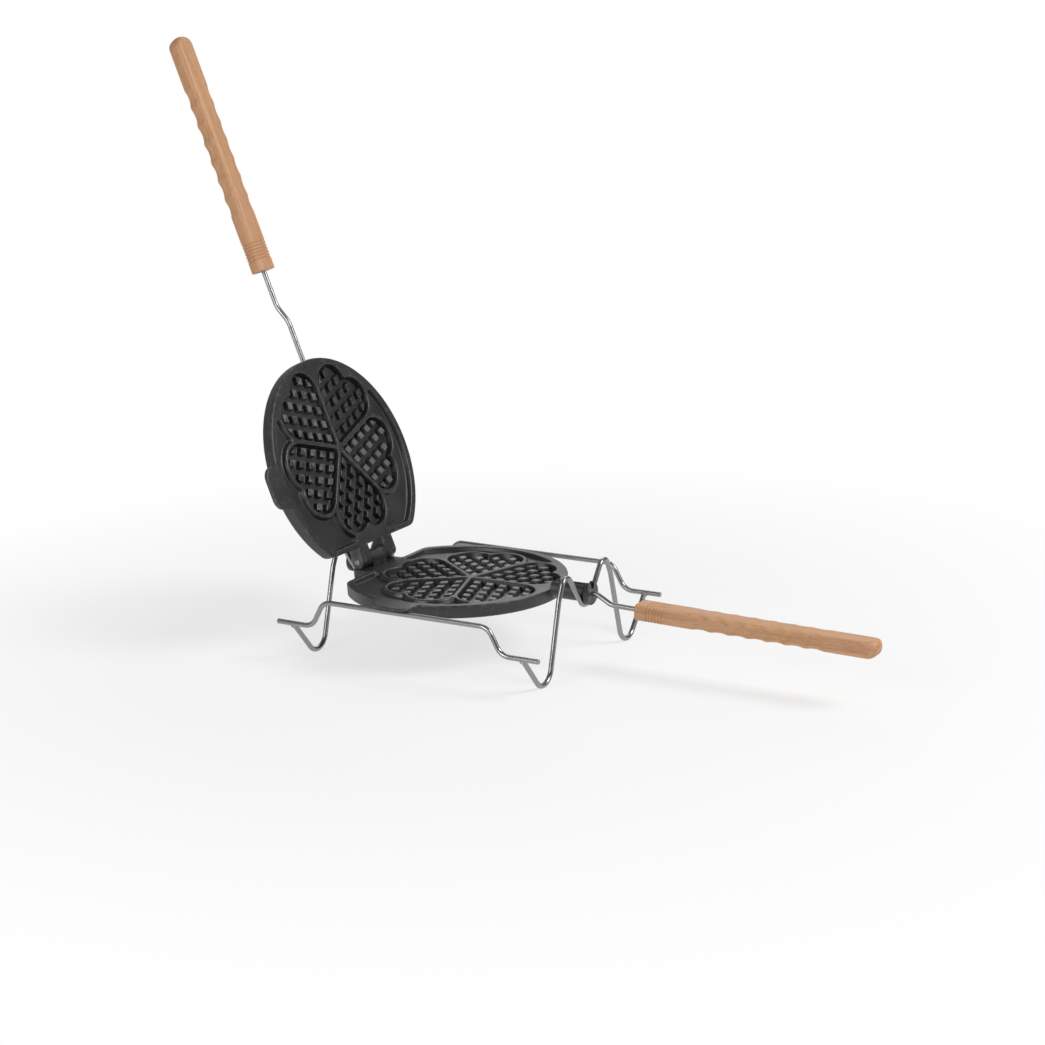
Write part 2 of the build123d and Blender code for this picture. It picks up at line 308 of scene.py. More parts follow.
class Round:
    """A round stretch of an outline: turn is 1 where the material is inside the circle, else -1."""

    def __init__(self, centre, radius, turn=1, count=None):
        self.centre = Vector(centre)
        self.radius = radius
        self.turn = turn
        self.count = count

    def shifted(self, distance):
        return Round(self.centre, self.radius - self.turn * distance, self.turn)

    def touch(self, spot):
        return self.centre + (spot - self.centre).normalized() * self.radius

    def samples(self, start, end):
        first, last = (math.atan2(spot.y - self.centre.y, spot.x - self.centre.x) for spot in (start, end))
        span = ((last - first) * self.turn) % (2 * math.pi)
        count = self.count or max(2, math.ceil(span / ARC_STEP), math.ceil(span * self.radius / ARC_LENGTH))
        found = []
        for i in range(count + 1):
            angle = first + self.turn * span * i / count
            out = Vector((math.cos(angle), math.sin(angle)))
            found.append((self.centre + out * self.radius, -out * self.turn))
        return found


def meeting(a, b, near):
    """Where two stretches cross, nearest to a point."""
    if isinstance(a, Round) and isinstance(b, Straight):
        a, b = b, a
    if isinstance(b, Straight):
        along = (b.point - a.point).dot(b.inward) / a.way.dot(b.inward)
        return a.point + a.way * along
    if isinstance(a, Straight):
        foot = a.touch(b.centre)
        reach = math.sqrt(b.radius ** 2 - (foot - b.centre).length_squared)
        spots = [foot + a.way * reach, foot - a.way * reach]
    else:
        between = b.centre - a.centre
        gap = between.length
        along = (a.radius ** 2 - b.radius ** 2 + gap ** 2) / (2 * gap)
        reach = math.sqrt(a.radius ** 2 - along ** 2)
        foot = a.centre + between * (along / gap)
        across = Vector((-between.y, between.x)) * (reach / gap)
        spots = [foot + across, foot - across]
    return min(spots, key=lambda spot: (spot - Vector(near)).length)


def trace(stretches, corners):
    """The samples of each stretch and of the arc after it, in turn. A corner is a near point, a radius and
    perhaps a count: the radius is above 0 where the outline turns left, below 0 where it turns right, and 0
    where the two touch."""
    joins = []
    for i, (near, radius, *count) in enumerate(corners):
        a, b = stretches[i], stretches[(i + 1) % len(stretches)]
        if radius:
            ball = meeting(a.shifted(radius), b.shifted(radius), near)
            arc = Round(ball, abs(radius), int(math.copysign(1, radius)), *count)
            joins.append((a.touch(ball), arc, b.touch(ball)))
        else:
            straight, arc = (a, b) if isinstance(a, Straight) else (b, a)
            spot = straight.touch(arc.centre)
            joins.append((spot, None, spot))
    parts = []
    for i, stretch in enumerate(stretches):
        parts.append(stretch.samples(joins[i - 1][2], joins[i][0]))
        arc = joins[i][1]
        parts.append(arc.samples(joins[i][0], joins[i][2]) if arc else [])
    return parts


def joined(parts):
    """Several runs of samples as one, without repeated points."""
    found = []
    for point, normal in [sample for part in parts for sample in part]:
        if not found or (point - found[-1][0]).length > MERGE_DISTANCE:
            found.append((point, normal))
    return found


def ring(parts):
    """A closed outline's samples, without the last point if it repeats the first."""
    found = joined(parts)
    if (found[0][0] - found[-1][0]).length < MERGE_DISTANCE:
        found.pop()
    return found


def turned(samples, degrees):
    """Samples turned about the pattern's middle."""
    turn = Matrix.Rotation(math.radians(degrees), 2)
    return [(turn @ point, turn @ normal) for point, normal in samples]


def mirrored(samples):
    """Samples mirrored over the X axis, walked the same way round."""
    flip = Matrix(((1, 0), (0, -1)))
    return [(flip @ point, flip @ normal) for point, normal in reversed(samples)]


# Profiles are lists of inset and height, from a few corners that each have a radius and two slopes

def facing(degrees):
    """Inset and height of a unit normal: 0 faces up, 90 faces out of the outline and -90 into it."""
    return flat_point(1, degrees + 90)


def profile(*corners):
    """Rounded corners joined by straight runs. A corner is inset, height, radius and the slopes before and
    after it, with the radius below 0 in a hollow."""
    found = []
    for inset, height, radius, before, after in corners:
        first, last = facing(before), facing(after)
        centre = Vector((inset, height)) - (first + last) * (radius / (1 + first.dot(last)))
        for i in range(ROUND_STEPS + 1):
            found.append(centre + facing(before + (after - before) * i / ROUND_STEPS) * radius)
    return found


# Mesh making

def grid(mesh, rows, closed):
    """Faces between rows of points, all of one length."""
    lines = [[mesh.verts.new(point) for point in row] for row in rows]
    for lower, upper in zip(lines, lines[1:]):
        for i in range(len(lower) - (0 if closed else 1)):
            j = (i + 1) % len(lower)
            mesh.faces.new((lower[i], lower[j], upper[j], upper[i]))
    return lines


def wall(mesh, samples, steps, closed=True):
    """The surface that an outline's samples sweep along a profile."""
    rows = []
    for inset, height in steps:
        rows.append([(*(point + normal * inset), height) for point, normal in samples])
    grid(mesh, rows, closed)


def close_levels(mesh, levels):
    """Flat faces across the open edges at each height."""
    bmesh.ops.remove_doubles(mesh, verts=mesh.verts[:], dist=MERGE_DISTANCE)
    for level in levels:
        rim = [edge for edge in mesh.edges if edge.is_boundary
               and all(abs(corner.co.z - level) < MERGE_DISTANCE for corner in edge.verts)]
        bmesh.ops.triangle_fill(mesh, edges=rim, use_beauty=True, normal=(0, 0, 1))


def bar(mesh, rows):
    """Faces between closed rows of points, and a flat face over each end."""
    lines = grid(mesh, rows, True)
    mesh.faces.new(lines[0])
    mesh.faces.new(lines[-1])
    return lines


def round_way(sides):
    """Cosine and sine at even steps round a circle."""
    turns = [2 * math.pi * i / sides for i in range(sides)]
    return [(math.cos(turn), math.sin(turn)) for turn in turns]


def rounded_ends(length, radius, edge):
    """Places along a round bar and the radius there, over its two rounded ends."""
    start = [(edge * (1 - math.sin(turn)), radius - edge * (1 - math.cos(turn)))
             for turn in reversed(QUARTER_TURN)]
    return start + [(length - along, size) for along, size in reversed(start)]


def bar_across(mesh, samples, middle, width, edge):
    """A bar along Y with one outline, in X and Z, and rounded edges at both ends."""
    rows = []
    for inset, along in profile((0, width / 2, edge, 0, 90), (0, -width / 2, edge, 90, 180)):
        spots = [point + normal * inset for point, normal in samples]
        rows.append([(spot.x, middle + along, spot.y) for spot in spots])
    bar(mesh, rows)


def lathe(mesh, steps, sides):
    """A turned solid about the X axis, from places along it and the radius there."""
    bar(mesh, [[(x, radius * across, radius * up) for across, up in round_way(sides)] for x, radius in steps])


def bent_line(points, bends):
    """Points and directions along straight runs joined by arcs."""
    points = [Vector(point) for point in points]
    found = [(points[0], (points[1] - points[0]).normalized())]
    for before, corner, after, bend in zip(points, points[1:], points[2:], bends):
        into = (corner - before).normalized()
        out = (after - corner).normalized()
        turn = into.angle(out)
        reach = bend * math.tan(turn / 2)
        start = corner - into * reach
        to_centre = (out - into * into.dot(out)).normalized()
        centre = start + to_centre * bend
        count = max(4, math.ceil(turn / ARC_STEP))
        for i in range(count + 1):
            angle = turn * i / count
            found.append((centre - to_centre * (bend * math.cos(angle)) + into * (bend * math.sin(angle)),
                          into * math.cos(angle) + to_centre * math.sin(angle)))
    found.append((points[-1], (points[-1] - points[-2]).normalized()))
    return found


def tube(line, radius):
    """A round bar along a bent line, with rounded ends."""
    mesh = bmesh.new()
    rounding = rounded_ends(0, radius, BAR_END_EDGE)
    half = len(rounding) // 2
    sections = [rounding[:half]] + [[(0, radius)]] * (len(line) - 2) + [rounding[half:]]
    side = line[0][1].orthogonal().normalized()
    rows = []
    for (point, way), section in zip(line, sections):
        side = (side - way * side.dot(way)).normalized()
        other = way.cross(side)
        for along, size in section:
            centre = point + way * along
            rows.append([centre + (side * across + other * up) * size for across, up in round_way(BAR_SIDES)])
    paint_lengthwise(mesh, bar(mesh, rows))
    return mesh


def paint_lengthwise(mesh, lines):
    """A UV map that runs round a bar and along it, in millimetres, for the drawn lines of the finish."""
    layer = mesh.loops.layers.uv.verify()
    place = {}
    length = 0.0
    middle = None
    for line in lines:
        centre = sum((corner.co for corner in line), Vector()) / len(line)
        length += (centre - middle).length if middle else 0.0
        middle = centre
        for i, corner in enumerate(line):
            place[corner] = (i / len(line), length)
    for face in mesh.faces:
        rounds = [place[loop.vert][0] for loop in face.loops]
        over_seam = len(rounds) == 4 and max(rounds) - min(rounds) > 0.5
        for loop in face.loops:
            turn, along = place[loop.vert]
            loop[layer].uv = (turn + 1 if over_seam and turn < 0.5 else turn, along)


def mesh_data(name, mesh):
    """A drawn mesh as Blender's own."""
    data = bpy.data.meshes.new(name)
    mesh.to_mesh(data)
    mesh.free()
    return data


def placed(name, data):
    """A new object in the scene."""
    made = bpy.data.objects.new(name, data)
    bpy.context.scene.collection.objects.link(made)
    return made


def piece(name, mesh, place, body, slot, material, *nodes):
    """A finished piece in its place, riding on its body and standing for its CAD nodes."""
    bmesh.ops.recalc_face_normals(mesh, faces=mesh.faces[:])
    data = mesh_data(name, mesh)
    data.transform(Matrix.Scale(1 / METRE, 4))
    data.shade_smooth()
    data.materials.append(material)
    made = placed(name, data)
    made.matrix_world = place
    shading = made.modifiers.new("face_weighted_normals", "WEIGHTED_NORMAL")
    shading.keep_sharp = True
    shading.weight = 60
    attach(made, body)
    if nodes:
        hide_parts(*nodes)


# Where the iron's frame lies, and the same for the open lid

low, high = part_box("hinge_pin")
pin_place = (low + high) / 2
pin_drawn = Vector((PIN_X, 0, PIN_Z)) / METRE
IRON_PLACE = Matrix.Translation(pin_place - pin_drawn)
LID_PLACE = (Matrix.Translation(pin_place) @ Matrix.Rotation(math.radians(-OPEN_ANGLE), 4, "Y")
             @ Matrix.Translation(-pin_drawn))


# The heart pattern

HALF_ANGLE = 180 / HEART_COUNT
SIDE_ANGLE = math.radians(HALF_ANGLE - HEART_LOBE_ANGLE)
LOBE_DISTANCE = (HEART_REACH + RIDGE_WIDTH / 2) / (1 + math.sin(SIDE_ANGLE))
LOBE_RADIUS = HEART_REACH - LOBE_DISTANCE
TIP_X = RIDGE_WIDTH / 2 / math.sin(math.radians(HALF_ANGLE))
LOBE_MIDDLE = flat_point(LOBE_DISTANCE, HEART_LOBE_ANGLE)
CLEFT_X = LOBE_MIDDLE.x + math.sqrt(LOBE_RADIUS ** 2 - LOBE_MIDDLE.y ** 2)


def heart_outline():
    """One heart with its tip near the pattern's middle and its axis along +X."""
    lobes = [Round(flat_point(LOBE_DISTANCE, side * HEART_LOBE_ANGLE), LOBE_RADIUS) for side in (-1, 1)]
    stretches = [Straight((TIP_X, 0), -HALF_ANGLE), *lobes, Straight((TIP_X, 0), 180 + HALF_ANGLE)]
    corners = [(None, 0), ((HEART_REACH, 0), -HEART_CLEFT_ROUND), (None, 0), ((TIP_X, 0), HEART_TIP_ROUND)]
    return ring(trace(stretches, corners))


def cut(polygon, point, inward):
    """The part of a convex polygon on one side of a line."""
    kept = []
    for a, b in zip(polygon, polygon[1:] + polygon[:1]):
        side_a, side_b = (a - point).dot(inward), (b - point).dot(inward)
        if side_a >= 0:
            kept.append(a)
        if side_a * side_b < 0:
            kept.append(a.lerp(b, side_a / (side_a - side_b)))
    return kept


def area(polygon):
    """The area inside a polygon that is walked anticlockwise."""
    return sum(a.cross(b) for a, b in zip(polygon, polygon[1:] + polygon[:1])) / 2


def edge_normals(polygon):
    """Each edge's first point and its outward normal, left out where the edge has no length."""
    found = []
    for a, b in zip(polygon, polygon[1:] + polygon[:1]):
        way = b - a
        if way.length > MERGE_DISTANCE:
            found.append((a, Vector((way.y, -way.x)).normalized()))
    return found


def rounded_stud(polygon, corner):
    """Samples of a convex outline whose corners are rounded by arcs of one radius."""
    core = polygon
    for point, out in edge_normals(polygon):
        core = cut(core, point - out * corner, -out)
    edges = edge_normals(core)
    found = []
    for (_, before), (point, after) in zip([edges[-1]] + edges, edges):
        turn = before.angle_signed(after)
        count = STUD_CORNER_STEPS if abs(turn) > STUD_SHARP_TURN else 0
        for i in range(count + 1):
            share = i / count if count else 0.5
            out = Matrix.Rotation(-turn * share, 2) @ before
            found.append((point + out * corner, -out))
    return found


def stud_outline(middle, up, down):
    """One stud's foot: a rhombus, cut by the round room that the heart's lobe leaves."""
    half = STUD_SIDE / 2
    foot = [middle + up * (half * a) + down * (half * b) for a, b in ((1, 1), (1, -1), (-1, -1), (-1, 1))]
    whole = area(foot)
    side = math.copysign(1, middle.y)
    if abs(middle.y) > MERGE_DISTANCE:
        lobe = flat_point(LOBE_DISTANCE, side * HEART_LOBE_ANGLE)
        room = LOBE_RADIUS - STUD_MARGIN
        for turn in range(0, 181, STUD_CUT_STEP):
            out = flat_point(1, side * (HALF_ANGLE + 90 - turn))
            foot = cut(foot, lobe + out * room, -out)
    elif middle.x > CLEFT_X - STUD_PITCH / 2:
        return None
    if len(foot) < 3 or area(foot) < STUD_LEAST_SHARE * whole:
        return None
    return rounded_stud(foot, min(STUD_CORNER, STUD_CORNER_SHARE * area(foot) ** 0.5))


def stud_outlines():
    """The feet of one heart's studs, in rows along its two straight sides."""
    up, down = flat_point(1, HALF_ANGLE), flat_point(1, -HALF_ANGLE)
    steps = math.ceil(HEART_REACH / STUD_PITCH)
    found = []
    for i in range(steps):
        for j in range(steps):
            middle = Vector((TIP_X, 0)) + up * ((i + 0.5) * STUD_PITCH) + down * ((j + 0.5) * STUD_PITCH)
            outline = stud_outline(middle, up, down)
            if outline:
                found.append(outline)
    return found


def channel_outline():
    """The drip channel at +Y: round the rim, along the hinge and back along the hearts' borders."""
    border = LOBE_RADIUS + HEART_BORDER
    lobes = [flat_point(LOBE_DISTANCE, (heart + 0.5) * 2 * HALF_ANGLE + side * HEART_LOBE_ANGLE)
             for heart, side in ((2, -1), (1, 1), (1, -1), (0, 1))]
    rim = Round((PLATE_OFFSET, 0), PLATE_RADIUS - RIM_WIDTH)
    stretches = [rim, Straight((CHANNEL_END_X, 0), -90), Straight((0, CHANNEL_NECK_Y), 0)]
    stretches += [Round(lobe, border, -1) for lobe in lobes]
    neck = (CHANNEL_END_X, CHANNEL_NECK_Y)
    cusps = [a.lerp(b, 0.5) * CHANNEL_CUSP_SHARE for a, b in zip(lobes, lobes[1:])]
    near = [(CHANNEL_END_X, PLATE_RADIUS), neck, neck, *cusps, flat_point(PLATE_RADIUS, 2 * HALF_ANGLE)]
    return ring(trace(stretches, [(point, CHANNEL_CORNER) for point in near]))


# The plates

def plate_parts(with_tongue):
    """The outline's samples in turn: shared stretches, and lugs with what lies below them and their depth."""
    disc = Round((PLATE_OFFSET, 0), PLATE_RADIUS)
    chord = Straight((PLATE_CHORD_X, 0), -90)
    left, right = PLATE_OFFSET - EAR_WIDTH / 2, PLATE_OFFSET + EAR_WIDTH / 2
    rear, front = [((PLATE_CHORD_X, side * PLATE_RADIUS), PLATE_CORNER) for side in (1, -1)]
    ear_lines = [Straight((left, 0), -90), Straight((0, -EAR_REACH), 0), Straight((right, 0), 90)]
    ear_corners = [((left, -PLATE_RADIUS), -EAR_ROOT_ROUND), ((left, -EAR_REACH), EAR_CORNER),
                   ((right, -EAR_REACH), EAR_CORNER), ((right, -PLATE_RADIUS), -EAR_ROOT_ROUND)]
    if not with_tongue:
        parts = trace([disc, chord, disc] + ear_lines, [rear, front] + ear_corners)
        ear = joined(parts[5:12])
        return [joined(parts[0:5])], [(ear, disc.samples(ear[0][0], ear[-1][0]), EAR_THICKNESS)]
    half = TONGUE_WIDTH / 2
    tongue_x = PIN_X - KNUCKLE_RADIUS
    tongue_lines = [Straight((0, half), 180), Straight((tongue_x, 0), -90), Straight((0, -half), 0)]
    tongue_corners = [((PLATE_CHORD_X, half), -TONGUE_ROOT_ROUND), ((tongue_x, half), TONGUE_CORNER),
                      ((tongue_x, -half), TONGUE_CORNER), ((PLATE_CHORD_X, -half), -TONGUE_ROOT_ROUND)]
    parts = trace([disc, chord, *tongue_lines, chord, disc, *ear_lines],
                  [rear, *tongue_corners, front, *ear_corners])
    tongue, ear = joined(parts[3:10]), joined(parts[13:20])
    lugs = [(tongue, [tongue[0], tongue[-1]], TONGUE_DEPTH),
            (ear, disc.samples(ear[0][0], ear[-1][0]), EAR_THICKNESS)]
    return [joined(parts[0:3]), joined(parts[10:13])], lugs


def sloping(depth, degrees):
    """How far a wall of a depth and a draft moves sideways."""
    return depth * math.tan(math.radians(degrees))


def hollow(depth, draft, lip, foot):
    """The profile of a hollow's wall, from its rounded edge down to its rounded foot."""
    return profile((0, 0, lip, 0, draft - 90), (sloping(depth, draft), -depth, -foot, draft - 90, 0))


def plate_half(with_tongue):
    """One plate with its pattern up at Z = 0 and its back at the bottom."""
    mesh = bmesh.new()
    slope = 90 + PLATE_DRAFT
    steps = profile((0, 0, PLATE_LIP, 0, slope),
                    (sloping(PLATE_THICKNESS, PLATE_DRAFT), -PLATE_THICKNESS, PLATE_BACK_ROUND, slope, 180))
    shared, lugs = plate_parts(with_tongue)
    depths = sorted({depth for _, _, depth in lugs})
    steps += [Vector((sloping(depth, PLATE_DRAFT), -depth)) for depth in depths]
    steps.sort(key=lambda step: -step.y)
    for samples in shared:
        wall(mesh, samples, steps, closed=False)
    for lug, under, depth in lugs:
        wall(mesh, lug, [step for step in steps if step.y >= -depth - MERGE_DISTANCE], closed=False)
        wall(mesh, under, [step for step in steps if step.y <= -depth + MERGE_DISTANCE], closed=False)
    heart, studs = heart_outline(), stud_outlines()
    pocket = hollow(HEART_DEPTH, HEART_DRAFT, HEART_LIP, FOOT_ROUND)
    stud_top = STUD_HEIGHT - HEART_DEPTH
    stud = profile((0, -HEART_DEPTH, -FOOT_ROUND, 0, 90 - STUD_DRAFT),
                   (sloping(STUD_HEIGHT, STUD_DRAFT), stud_top, STUD_LIP, 90 - STUD_DRAFT, 0))
    for k in range(HEART_COUNT):
        angle = (k + 0.5) * 2 * HALF_ANGLE
        wall(mesh, turned(heart, angle), pocket)
        for outline in studs:
            wall(mesh, turned(outline, angle), stud)
    channel = channel_outline()
    gutter = hollow(CHANNEL_DEPTH, CHANNEL_DRAFT, CHANNEL_LIP, CHANNEL_FOOT_ROUND)
    wall(mesh, channel, gutter)
    wall(mesh, mirrored(channel), gutter)
    flats = (HEART_DEPTH, CHANNEL_DEPTH, PLATE_THICKNESS, *depths)
    close_levels(mesh, [0, stud_top] + [-depth for depth in flats])
    return mesh


def hinge_arm(mesh, side):
    """One of the lid's arms, with a round end on the pin, drawn closed."""
    pin = Vector((PIN_X, PIN_Z))
    root = Vector((PLATE_CHORD_X + ARM_ROOT_INSET, MATING_GAP + PLATE_THICKNESS - ARM_ROOT_DROP))
    toward = pin - root
    lean = math.degrees(math.atan2(toward.y, toward.x) - math.asin(ARM_RADIUS / toward.length)) % 360
    stretches = [Round(pin, ARM_RADIUS), Straight(pin - Vector((0, ARM_RADIUS)), 0), Straight(root, 90),
                 Straight(pin + flat_point(ARM_RADIUS, lean - 90), lean)]
    corners = [(None, 0), ((root.x, 0), ARM_EDGE), (tuple(root), ARM_EDGE), (None, 0)]
    middle = side * (KNUCKLE_WIDTH / 2 + ARM_SIDE_GAP + ARM_WIDTH / 2)
    bar_across(mesh, ring(trace(stretches, corners)), middle, ARM_WIDTH, ARM_EDGE)


def hinge_knuckle(mesh):
    """The lower plate's knuckle between the lid's arms."""
    rear, front = PIN_X - KNUCKLE_RADIUS, PIN_X + KNUCKLE_RADIUS
    stretches = [Round((PIN_X, PIN_Z), KNUCKLE_RADIUS), Straight((rear, PIN_Z), -90),
                 Straight((0, KNUCKLE_ROOT_Z), 0), Straight((front, PIN_Z), 90)]
    roots = [((x, KNUCKLE_ROOT_Z), KNUCKLE_ROOT_ROUND) for x in (rear, front)]
    bar_across(mesh, ring(trace(stretches, [(None, 0), *roots, (None, 0)])), 0, KNUCKLE_WIDTH, ARM_EDGE)


def flange_steps(inner_x, outward_way):
    """Places and radii over a neck's end and its rounded flange, from the neck outwards."""
    edge = FLANGE_EDGE
    steps = [(-edge / 2, COLLAR_RADIUS), (-edge / 8, COLLAR_RADIUS + edge / 8), (0, COLLAR_RADIUS + edge / 2)]
    steps += rounded_ends(FLANGE_THICKNESS, FLANGE_RADIUS, edge)
    return [(inner_x + outward_way * along, radius) for along, radius in steps]


def grooved_section(x, radius):
    """A round section with the open groove in which the lid's rod lies when the iron is shut."""
    floor_centre = (0, GROOVE_FLOOR_Z + GROOVE_HALF_WIDTH)
    stretches = [Round((0, 0), radius, 1, NECK_STEPS), Straight((GROOVE_HALF_WIDTH, 0), -90),
                 Round(floor_centre, GROOVE_HALF_WIDTH, -1), Straight((-GROOVE_HALF_WIDTH, 0), 90)]
    right, left = [((side * GROOVE_HALF_WIDTH, radius), GROOVE_LIP, GROOVE_LIP_STEPS) for side in (1, -1)]
    return [(x, point.x, point.y) for point, _ in ring(trace(stretches, [right, (None, 0), (None, 0), left]))]


def handle_collar(mesh):
    """The grooved neck and flange that lie in the cross wire at the handle end."""
    start_x = PLATE_OFFSET + PLATE_RADIUS + COLLAR_LID_GAP
    steps = [(start_x, COLLAR_RADIUS - COLLAR_EDGE), (start_x + COLLAR_EDGE, COLLAR_RADIUS)]
    bar(mesh, [grooved_section(x, radius) for x, radius in steps + flange_steps(HANDLE_FLANGE_INNER_X, 1)])
    corners = [((side * COLLAR_RADIUS, COLLAR_ROOT_TOP), COLLAR_EDGE) for side in (1, -1)]
    section = ring(trace([Round((0, 0), COLLAR_RADIUS), Straight((0, COLLAR_ROOT_TOP), 180)], corners))
    bar(mesh, [[(x, point.x, point.y) for point, _ in section]
               for x in (start_x - COLLAR_ROOT_DEPTH, start_x + COLLAR_ROOT_OVERLAP)])


def lower_plate(material):
    mesh = plate_half(with_tongue=True)
    hinge_knuckle(mesh)
    handle_collar(mesh)
    neck = [(PIN_X - HINGE_NECK_INSET, COLLAR_RADIUS)]
    lathe(mesh, neck + flange_steps(HINGE_FLANGE_INNER_X, -1), COLLAR_SIDES)
    piece("lower_waffle_plate", mesh, IRON_PLACE, "iron", "coated_casting", material, "lower_plate")


def upper_plate(material):
    mesh = plate_half(with_tongue=False)
    flip = Matrix.Translation((0, 0, MATING_GAP)) @ Matrix.Scale(-1, 4, (0, 0, 1))
    bmesh.ops.transform(mesh, matrix=flip, verts=mesh.verts[:])
    for side in (-1, 1):
        hinge_arm(mesh, side)
    piece("upper_waffle_plate", mesh, LID_PLACE, "lid", "coated_casting", material, "upper_plate")


def hinge_pin(material):
    """The pin, with its two ends lightly domed."""
    mesh = bmesh.new()
    steps = rounded_ends(2 * PIN_HALF_LENGTH, PIN_RADIUS, PIN_DOME)
    lathe(mesh, [(along - PIN_HALF_LENGTH, radius) for along, radius in steps], PIN_SIDES)
    turn = Matrix.Translation((PIN_X, 0, PIN_Z)) @ Matrix.Rotation(math.radians(90), 4, "Z")
    bmesh.ops.transform(mesh, matrix=turn, verts=mesh.verts[:])
    piece("hinge_pin_rod", mesh, IRON_PLACE, "iron", "pin_steel", material, "hinge_pin")


# Rods and grips

def upper_rod(material):
    grip_z = UPPER_ROD_Z + UPPER_ROD_RISE
    points = [(UPPER_ROD_START_X, 0, UPPER_ROD_Z), (UPPER_ROD_KNEE_X, 0, UPPER_ROD_Z),
              (UPPER_ROD_KNEE_X + UPPER_ROD_RISE_RUN, 0, grip_z), (UPPER_GRIP_X + ROD_TONGUE, 0, grip_z)]
    mesh = tube(bent_line(points, [UPPER_ROD_BEND] * 2), ROD_RADIUS)
    piece("upper_handle_rod", mesh, LID_PLACE, "lid", "rod_steel", material, "upper_rod")


LOWER_ROD_FACE_X = HANDLE_FLANGE_INNER_X + FLANGE_THICKNESS
LOWER_ROD_DROP_X = LOWER_ROD_FACE_X + LOWER_ROD_STRAIGHT + LOWER_ROD_DROP_RUN


def below_drop(length):
    """A point on the lower rod's drooping tail, at a length past its drop."""
    tail = flat_point(length, -LOWER_GRIP_DROOP)
    return (LOWER_ROD_DROP_X + tail.x, 0, tail.y - LOWER_ROD_DROP)


def lower_rod(material):
    points = [(LOWER_ROD_FACE_X - LOWER_ROD_DEPTH, 0, 0), (LOWER_ROD_FACE_X + LOWER_ROD_STRAIGHT, 0, 0),
              below_drop(0), below_drop(LOWER_ROD_TAIL + ROD_TONGUE)]
    mesh = tube(bent_line(points, [LOWER_ROD_BEND] * 2), ROD_RADIUS)
    piece("lower_handle_rod", mesh, IRON_PLACE, "iron", "rod_steel", material, "lower_rod")


def drawn_in(to_end, radius):
    """How far a side has drawn in at a distance from a rounded end."""
    along = max(0.0, radius - to_end)
    return radius - math.sqrt(radius ** 2 - along ** 2)


def off_centre(x, first, pitch, count, width):
    """How far a place is from the nearest of a row of hollows: 0 at its middle and 1 at its edge."""
    nearest = min(max(round((x - first) / pitch), 0), count - 1)
    return min(abs(x - first - nearest * pitch) * 2 / width, 1.0)


def grip_shape(x):
    """Top, bottom and half width of a grip at a place along it."""
    share = 1 - off_centre(x, SCALLOP_FIRST, SCALLOP_PITCH, SCALLOP_COUNT, SCALLOP_WIDTH) ** 2
    scallop = share ** 2 / (share + SCALLOP_SOFTNESS)
    ring_off = off_centre(x, RING_FIRST, RING_PITCH, RING_COUNT, RING_WIDTH)
    groove = RING_DEPTH * (0.5 + 0.5 * math.cos(math.pi * ring_off)) + drawn_in(x, GRIP_END_EDGE)
    to_tip = GRIP_LENGTH - x
    top = GRIP_HEIGHT / 2 - SCALLOP_DEPTH * scallop - groove - drawn_in(to_tip, GRIP_TIP_OUTER)
    bottom = -GRIP_HEIGHT / 2 + groove + drawn_in(to_tip, GRIP_TIP_INNER)
    half_width = GRIP_WIDTH / 2 - SCALLOP_SIDE_DEPTH * scallop - groove - drawn_in(to_tip, GRIP_TIP_SIDE)
    return top, bottom, half_width


def grip_places():
    """Where a grip's sections stand: close together at the turned rings and the tip."""
    rings_end = RING_FIRST + RING_COUNT * RING_PITCH
    fine = [k * GRIP_RING_STEP for k in range(1, int(rings_end / GRIP_RING_STEP))]
    tip = [GRIP_LENGTH - GRIP_TIP_OUTER * (1 - math.sin(math.radians(angle)))
           for angle in range(0, 90, GRIP_TIP_STEP)]
    count = math.ceil((tip[0] - rings_end) / GRIP_STEP - 0.5)
    return [GRIP_START] + fine + [rings_end + k * GRIP_STEP for k in range(count)] + tip


def grip_section(x):
    """A grip's rounded section at a place along it."""
    top, bottom, half_width = grip_shape(x)
    corner = min(GRIP_CORNER, half_width - GRIP_LEAST_WIDTH, (top - bottom) / 2 - GRIP_LEAST_HEIGHT)
    spots = []
    for side, height, first in ((1, top - corner, 0), (-1, top - corner, 90),
                                (-1, bottom + corner, 180), (1, bottom + corner, 270)):
        for k in range(GRIP_CORNER_STEPS + 1):
            turn = math.radians(first + k * 90 / GRIP_CORNER_STEPS)
            y = side * (half_width - corner) + corner * math.cos(turn)
            spots.append((x, y, height + corner * math.sin(turn)))
    return spots


def grip(name, place, body, material, node):
    mesh = bmesh.new()
    bar(mesh, [grip_section(x) for x in grip_places()])
    piece(name, mesh, place, body, "beech", material, node)


def upper_grip(material):
    place = LID_PLACE @ Matrix.Translation(Vector((UPPER_GRIP_X, 0, UPPER_ROD_Z + UPPER_ROD_RISE)) / METRE)
    grip("upper_beech_grip", place, "lid", material, "upper_grip")


def lower_grip(material):
    place = IRON_PLACE @ Matrix.Translation(Vector(below_drop(LOWER_ROD_TAIL)) / METRE)
    place = place @ Matrix.Rotation(math.radians(LOWER_GRIP_DROOP), 4, "Y") @ Matrix.Rotation(math.pi, 4, "X")
    grip("lower_beech_grip", place, "iron", material, "lower_grip")


# The stand

def rail(name, side, material, node):
    half = [(RAIL_STEP_TOP_X, RAIL_Z), (RAIL_STEP_FOOT_X, RAIL_LOW_Z), (RAIL_HALF_LENGTH, RAIL_LOW_Z)]
    y = side * RAIL_Y
    points = [(-x, y, z) for x, z in reversed(half)] + [(x, y, z) for x, z in half]
    mesh = tube(bent_line(points, [RAIL_BEND] * 4), WIRE_RADIUS)
    piece(name, mesh, IRON_PLACE, "stand", "wire_steel", material, node)


